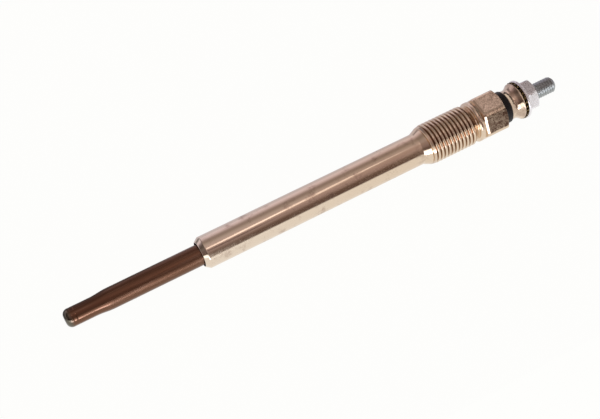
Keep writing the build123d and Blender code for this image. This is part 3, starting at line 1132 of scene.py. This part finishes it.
class BuildStage(bpy.types.Operator):
    """Builds the floor, the studio light and the camera"""

    bl_idname = "glow_plug.stage"
    bl_label = "Stage"

    view_angle: angle("View angle", "Angle between the line of sight and the plug's axis", 75.5)
    side_angle: angle("Side angle", "Turn of the camera about the axis, from above", 31.0)
    image_slope: angle("Image slope", "Slope of the plug's axis in the picture", 25.98)
    distance: length("Distance", "Distance of the camera", 286.0)
    aim: length("Aim", "Place on the axis in the middle of the picture", 24.59)
    aim_drop: length("Aim drop", "How far the picture's middle lies below the axis", 0.736)
    floor_reach: length("Floor reach", "How far the floor reaches behind and to both sides", 3000.0)
    floor_front: length("Floor front", "How far the floor reaches in front of the plug", 60.0)
    lens: bpy.props.FloatProperty(name="Lens", description="Focal length", default=74.2, unit="CAMERA")

    def execute(self, context):
        self.build_floor(context)
        self.build_light(context)
        self.build_camera(context)
        return {"FINISHED"}

    def build_floor(self, context):
        """A pale floor that touches the barrel's front edge and the thread."""
        sizes = context.scene.glow_plug_body
        _, _, thread_start, *_ = body_stations(sizes)
        tilt = math.atan2(sizes.thread_radius - sizes.barrel_radius, thread_start)
        bm = bmesh.new()
        reach = self.floor_reach
        near = -self.floor_front
        corners = [(-reach, near), (reach, near), (reach, reach), (-reach, reach)]
        bm.faces.new([bm.verts.new((x, y, 0.0)) for x, y in corners])
        bmesh.ops.rotate(bm, verts=bm.verts, matrix=Matrix.Rotation(tilt, 3, "Y"))
        bmesh.ops.translate(bm, verts=bm.verts, vec=(0.0, 0.0, -sizes.barrel_radius))
        mesh = bpy.data.meshes.new("floor")
        bm.to_mesh(mesh)
        bm.free()
        mesh.materials.append(self.floor_finish())
        floor = bpy.data.objects.new("floor", mesh)
        context.scene.collection.objects.link(floor)

    def floor_finish(self):
        """White paper that the camera and reflections see near white, with a faint shadow. Reflections see
        a painted shadow on it behind the plug, darker by the tube than by the barrel."""
        material = bpy.data.materials.new("white_paper")
        material.use_nodes = True
        tree = material.node_tree
        tree.nodes.clear()
        grain = noise(tree, place(tree), 40.0, 3.0)
        paper = blend(tree, remap(tree, grain, 0.3, 0.7), (0.90, 0.90, 0.885), (0.93, 0.93, 0.915))
        diffuse = add(tree, "BsdfDiffuse", {"Color": paper}).outputs[0]
        path = add(tree, "LightPath").outputs
        parts = add(tree, "SeparateXYZ", {"Vector": place(tree)}).outputs
        # Painted shadow: reflections see the floor behind the plug darker, most of all by the tube
        behind = remap(tree, parts["Y"], *BEHIND_AXIS)
        by_barrel = remap(tree, parts["X"], *TUBE_TO_BARREL)
        painted_shadow_behind = blend(tree, by_barrel, (0.26, 0.25, 0.26), (0.70, 0.66, 0.72))
        white = blend(tree, times(tree, behind, path["Is Glossy Ray"]), (1.0, 1.0, 0.985), painted_shadow_behind)
        glow = add(tree, "Emission", {"Color": white, "Strength": 1.0}).outputs[0]
        seen = calculate(tree, "ADD", path["Is Camera Ray"], path["Is Glossy Ray"])
        seen = calculate(tree, "ADD", seen, path["Is Transmission Ray"])
        mixed = add(tree, "MixShader", {0: times(tree, seen, PAPER_GLOW), 1: diffuse, 2: glow}).outputs[0]
        tree.links.new(mixed, add(tree, "OutputMaterial").inputs["Surface"])
        return material

    def build_light(self, context):
        """A studio room for polished metal: soft boxes and dark cards round the plug, as a world.
        The camera sees plain white."""
        world = bpy.data.worlds.new("studio")
        context.scene.world = world
        world.use_nodes = True
        tree = world.node_tree
        tree.nodes.clear()
        direction = add(tree, "TexCoord").outputs["Generated"]
        parts = add(tree, "SeparateXYZ", {"Vector": direction}).outputs
        turn = calculate(tree, "ARCTAN2", times(tree, parts["Y"], -1.0), parts["Z"])
        inputs = {"Value": turn, "From Min": -math.pi, "From Max": math.pi}
        ramp = add(tree, "ValToRGB", {"Fac": add(tree, "MapRange", inputs).outputs[0]})
        elements = ramp.color_ramp.elements
        while len(elements) < len(ROOM):
            elements.new(0.5)
        for element, (degrees, shade) in zip(elements, ROOM):
            element.position = (degrees + 180.0) / 360.0
            element.color = (*shade, 1.0)
        room = ramp.outputs["Color"]
        x_part = parts["X"]
        above = remap(tree, parts["Z"], 0.20, 0.40)
        over = from_turn(tree, turn, 60.0, 35.0)
        by_tube = band(tree, x_part, -0.15, 0.158, 0.012)
        by_hex = band(tree, x_part, 0.396, 0.424, 0.004)
        low = from_turn(tree, turn, 62.0, 72.0)
        lowest = from_turn(tree, turn, 78.0, 84.0)
        cards = (
            # where it is seen, how much it covers and its colour
            (times(tree, remap(tree, x_part, -0.25, -0.75), above), 0.65, (0.0, 0.0, 0.0)),
            (times(tree, by_tube, remap(tree, parts["Y"], 0.45, 0.9)), 0.62, (0.0, 0.0, 0.0)),
            (times(tree, remap(tree, x_part, 0.440, 0.450), over), 0.85, (0.0, 0.0, 0.0)),
            (times(tree, band(tree, x_part, 0.56, 0.90, 0.05), above), 0.9, (1.0, 0.96, 0.93)),
            (
                times(tree, band(tree, x_part, 0.15, 0.23, 0.02), turn_band(tree, turn, 26.0, 38.0, 0.05)),
                0.85,
                (0.11, 0.07, 0.06),
            ),
            (times(tree, by_tube, from_turn(tree, turn, 24.0, 34.0)), 0.6, (0.38, 0.33, 0.31)),
            (times(tree, by_tube, from_turn(tree, turn, 48.0, 78.0)), 1.0, (1.35, 1.32, 1.28)),
            (times(tree, band(tree, x_part, -0.95, -0.10, 0.1), low), 1.0, (1.9, 1.9, 1.9)),
            (times(tree, band(tree, x_part, -0.20, 0.088, 0.012), lowest), 1.0, (5.5, 6.0, 7.0)),
            (times(tree, band(tree, x_part, 0.057, 0.072, 0.003), lowest), 1.0, (1.8, 2.0, 2.3)),
            (times(tree, band(tree, x_part, -0.42, -0.17, 0.02), low), 1.0, (5.0, 5.0, 5.5)),
            (
                times(tree, band(tree, x_part, 0.375, 0.45, 0.01), from_turn(tree, turn, 76.0, 78.0)),
                1.0,
                (0.15, 0.10, 0.085),
            ),
            (
                times(tree, remap(tree, x_part, 0.45, 0.50), from_turn(tree, turn, 45.0, 60.0)),
                1.0,
                (0.90, 0.88, 0.86),
            ),
            (times(tree, by_hex, from_turn(tree, turn, -15.0, -30.0)), 1.0, (1.15, 0.98, 1.0)),
            (times(tree, by_hex, turn_band(tree, turn, -22.0, 25.0, 0.1)), 1.0, (0.10, 0.08, 0.07)),
            (times(tree, by_hex, turn_band(tree, turn, 25.0, 84.0, 0.1)), 1.0, (1.80, 1.55, 1.45)),
        )
        for where, cover, shade in cards:
            room = blend(tree, times(tree, where, cover), room, shade)
        is_camera = add(tree, "LightPath").outputs["Is Camera Ray"]
        seen = blend(tree, is_camera, room, (0.990, 0.990, 0.974))
        background = add(tree, "Background", {"Color": seen, "Strength": 1.0}).outputs[0]
        tree.links.new(background, add(tree, "OutputWorld").inputs["Surface"])
        for name, start, end, width, radiance in LAMPS:
            self.add_lamp(context, name, Vector(start), Vector(end), width, radiance)

    def add_lamp(self, context, name, start, end, width, radiance):
        """A long narrow lamp between two points, which faces the plug."""
        middle = (start + end) / 2
        along = (end - start).normalized()
        back = (middle - along * middle.dot(along)).normalized()
        lamp = bpy.data.lights.new(name, "AREA")
        lamp.shape = "RECTANGLE"
        lamp.size = (end - start).length
        lamp.size_y = width
        lamp.energy = radiance * math.pi * lamp.size * width
        lamp.color = LAMP_COLOUR
        holder = bpy.data.objects.new(name, lamp)
        turned = Matrix((along, back.cross(along), back)).transposed().to_4x4()
        holder.matrix_world = Matrix.Translation(middle + Vector((self.aim, 0.0, 0.0))) @ turned
        context.scene.collection.objects.link(holder)

    def build_camera(self, context):
        """The camera, turned so that the plug runs up to the right as in the picture."""
        along = math.cos(self.view_angle)
        off = math.sin(self.view_angle)
        to_camera = Vector((-along, -off * math.sin(self.side_angle), off * math.cos(self.side_angle)))
        sight = -to_camera
        below = sight.cross(Vector(AXIS)).normalized()
        forward = (Vector(AXIS) - sight * sight.x).normalized()
        right = math.cos(self.image_slope) * forward + math.sin(self.image_slope) * below
        up = math.sin(self.image_slope) * forward - math.cos(self.image_slope) * below
        camera = bpy.data.cameras.new("camera")
        camera.lens = self.lens
        camera.clip_start = 0.01
        holder = bpy.data.objects.new("camera", camera)
        target = Vector((self.aim, 0.0, 0.0)) + self.aim_drop * below
        turned = Matrix((right, up, to_camera)).transposed().to_4x4()
        holder.matrix_world = Matrix.Translation(target + self.distance * to_camera) @ turned
        context.scene.collection.objects.link(holder)
        context.scene.camera = holder
        context.scene.view_settings.view_transform = "Standard"


OPERATORS = (
    BuildBody,
    BuildHeaterTube,
    BuildInsulatingWasher,
    BuildRoundNut,
    BuildLockWasher,
    BuildPlainWasher,
    BuildTerminalNut,
    BuildCentreRod,
    DressInnerPieces,
    BuildStage,
)


class GlowPlugPanel(bpy.types.Panel):
    """Lists the pieces of the glow plug in the sidebar"""

    bl_idname = "VIEW3D_PT_glow_plug"
    bl_label = "Glow plug"
    bl_space_type = "VIEW_3D"
    bl_region_type = "UI"
    bl_category = "Glow plug"

    def draw(self, context):
        for operator in OPERATORS:
            self.layout.operator(operator.bl_idname)
        for name, group in GROUPS:
            for setting in group.__annotations__:
                self.layout.prop(getattr(context.scene, name), setting)


def register():
    """Registers the settings, the operators and the panel."""
    for name, group in GROUPS:
        bpy.utils.register_class(group)
        setattr(bpy.types.Scene, name, bpy.props.PointerProperty(type=group))
    for operator in OPERATORS:
        bpy.utils.register_class(operator)
    bpy.utils.register_class(GlowPlugPanel)


def unregister():
    """Takes away what register added."""
    bpy.utils.unregister_class(GlowPlugPanel)
    for operator in reversed(OPERATORS):
        bpy.utils.unregister_class(operator)
    for name, group in reversed(GROUPS):
        delattr(bpy.types.Scene, name)
        bpy.utils.unregister_class(group)


def main():
    """Builds every piece in order."""
    register()
    for operator in OPERATORS:
        group, name = operator.bl_idname.split(".")
        getattr(getattr(bpy.ops, group), name)()


if __name__ == "__main__":
    main()
